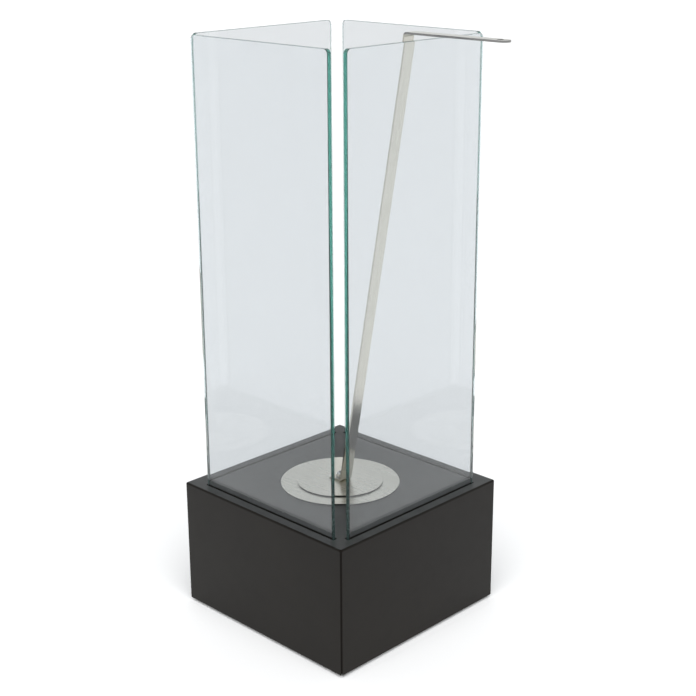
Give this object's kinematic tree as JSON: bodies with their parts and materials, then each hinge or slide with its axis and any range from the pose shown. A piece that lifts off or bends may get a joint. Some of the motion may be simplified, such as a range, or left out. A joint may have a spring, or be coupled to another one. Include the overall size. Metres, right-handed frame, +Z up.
{
  "type": "outdoor heater",
  "caption": "Free-standing outdoor ethanol fire: square black steel base, round burner, upright glass panes on each side, and a lift-off snuffer lid on a long bent flat-bar handle.",
  "frame": {"origin": "centre of the base, in the plane it stands on", "axes": "+Z up; +X to the right, the way the handle's arm points; -Y is the front"},
  "size_m": [0.4195, 0.3, 0.7915],
  "materials": {
    "black_powder_coat": "satin powder coat",
    "toughened_glass": "clear float glass with green edges, arrissed",
    "brushed_stainless": "fine brushed stainless steel",
    "polished_steel": "polished",
    "fastener_steel": "bright zinc",
    "zinc_plated_steel": "zinc-plated sheet",
    "black_rubber": "matt",
    "ceramic_wool": "matt pressed fibre"
  },
  "bodies": {
    "base": {"housing_shell": "black_powder_coat", "bottom_plate": "zinc_plated_steel", "bottom_plate_screws": "fastener_steel", "clinch_nuts": "fastener_steel", "rubber_base_strip": "black_rubber", "weld_studs": "fastener_steel", "stud_nuts": "fastener_steel", "spill_tray": "zinc_plated_steel", "glass_channel_front": "black_powder_coat", "glass_gasket_front": "black_rubber", "glass_pane_front": "toughened_glass", "glass_channel_right": "black_powder_coat", "glass_gasket_right": "black_rubber", "glass_pane_right": "toughened_glass", "glass_channel_back": "black_powder_coat", "glass_gasket_back": "black_rubber", "glass_pane_back": "toughened_glass", "glass_channel_left": "black_powder_coat", "glass_gasket_left": "black_rubber", "glass_pane_left": "toughened_glass", "corner_angle_front_right": "black_powder_coat", "corner_angle_back_right": "black_powder_coat", "corner_angle_back_left": "black_powder_coat", "corner_angle_front_left": "black_powder_coat"},
    "burner": {"burner_flange": "brushed_stainless", "burner_tank": "brushed_stainless", "fuel_pad": "ceramic_wool", "pad_retainer": "brushed_stainless"},
    "lid": {"lid_disc": "brushed_stainless", "lid_ring": "brushed_stainless", "lid_screw": "fastener_steel", "lid_washer": "fastener_steel", "lid_cap_nut": "polished_steel", "handle_bar": "brushed_stainless"}
  },
  "joints": [
    {"name": "burner_lift", "type": "slide", "parent": "base", "child": "burner", "axis": [0, 0, 1], "range_m": [0, 0.69]},
    {"name": "lid_lift", "type": "slide", "parent": "burner", "child": "lid", "axis": [0, 0, 1], "range_m": [0, 0.64]}
  ]
}
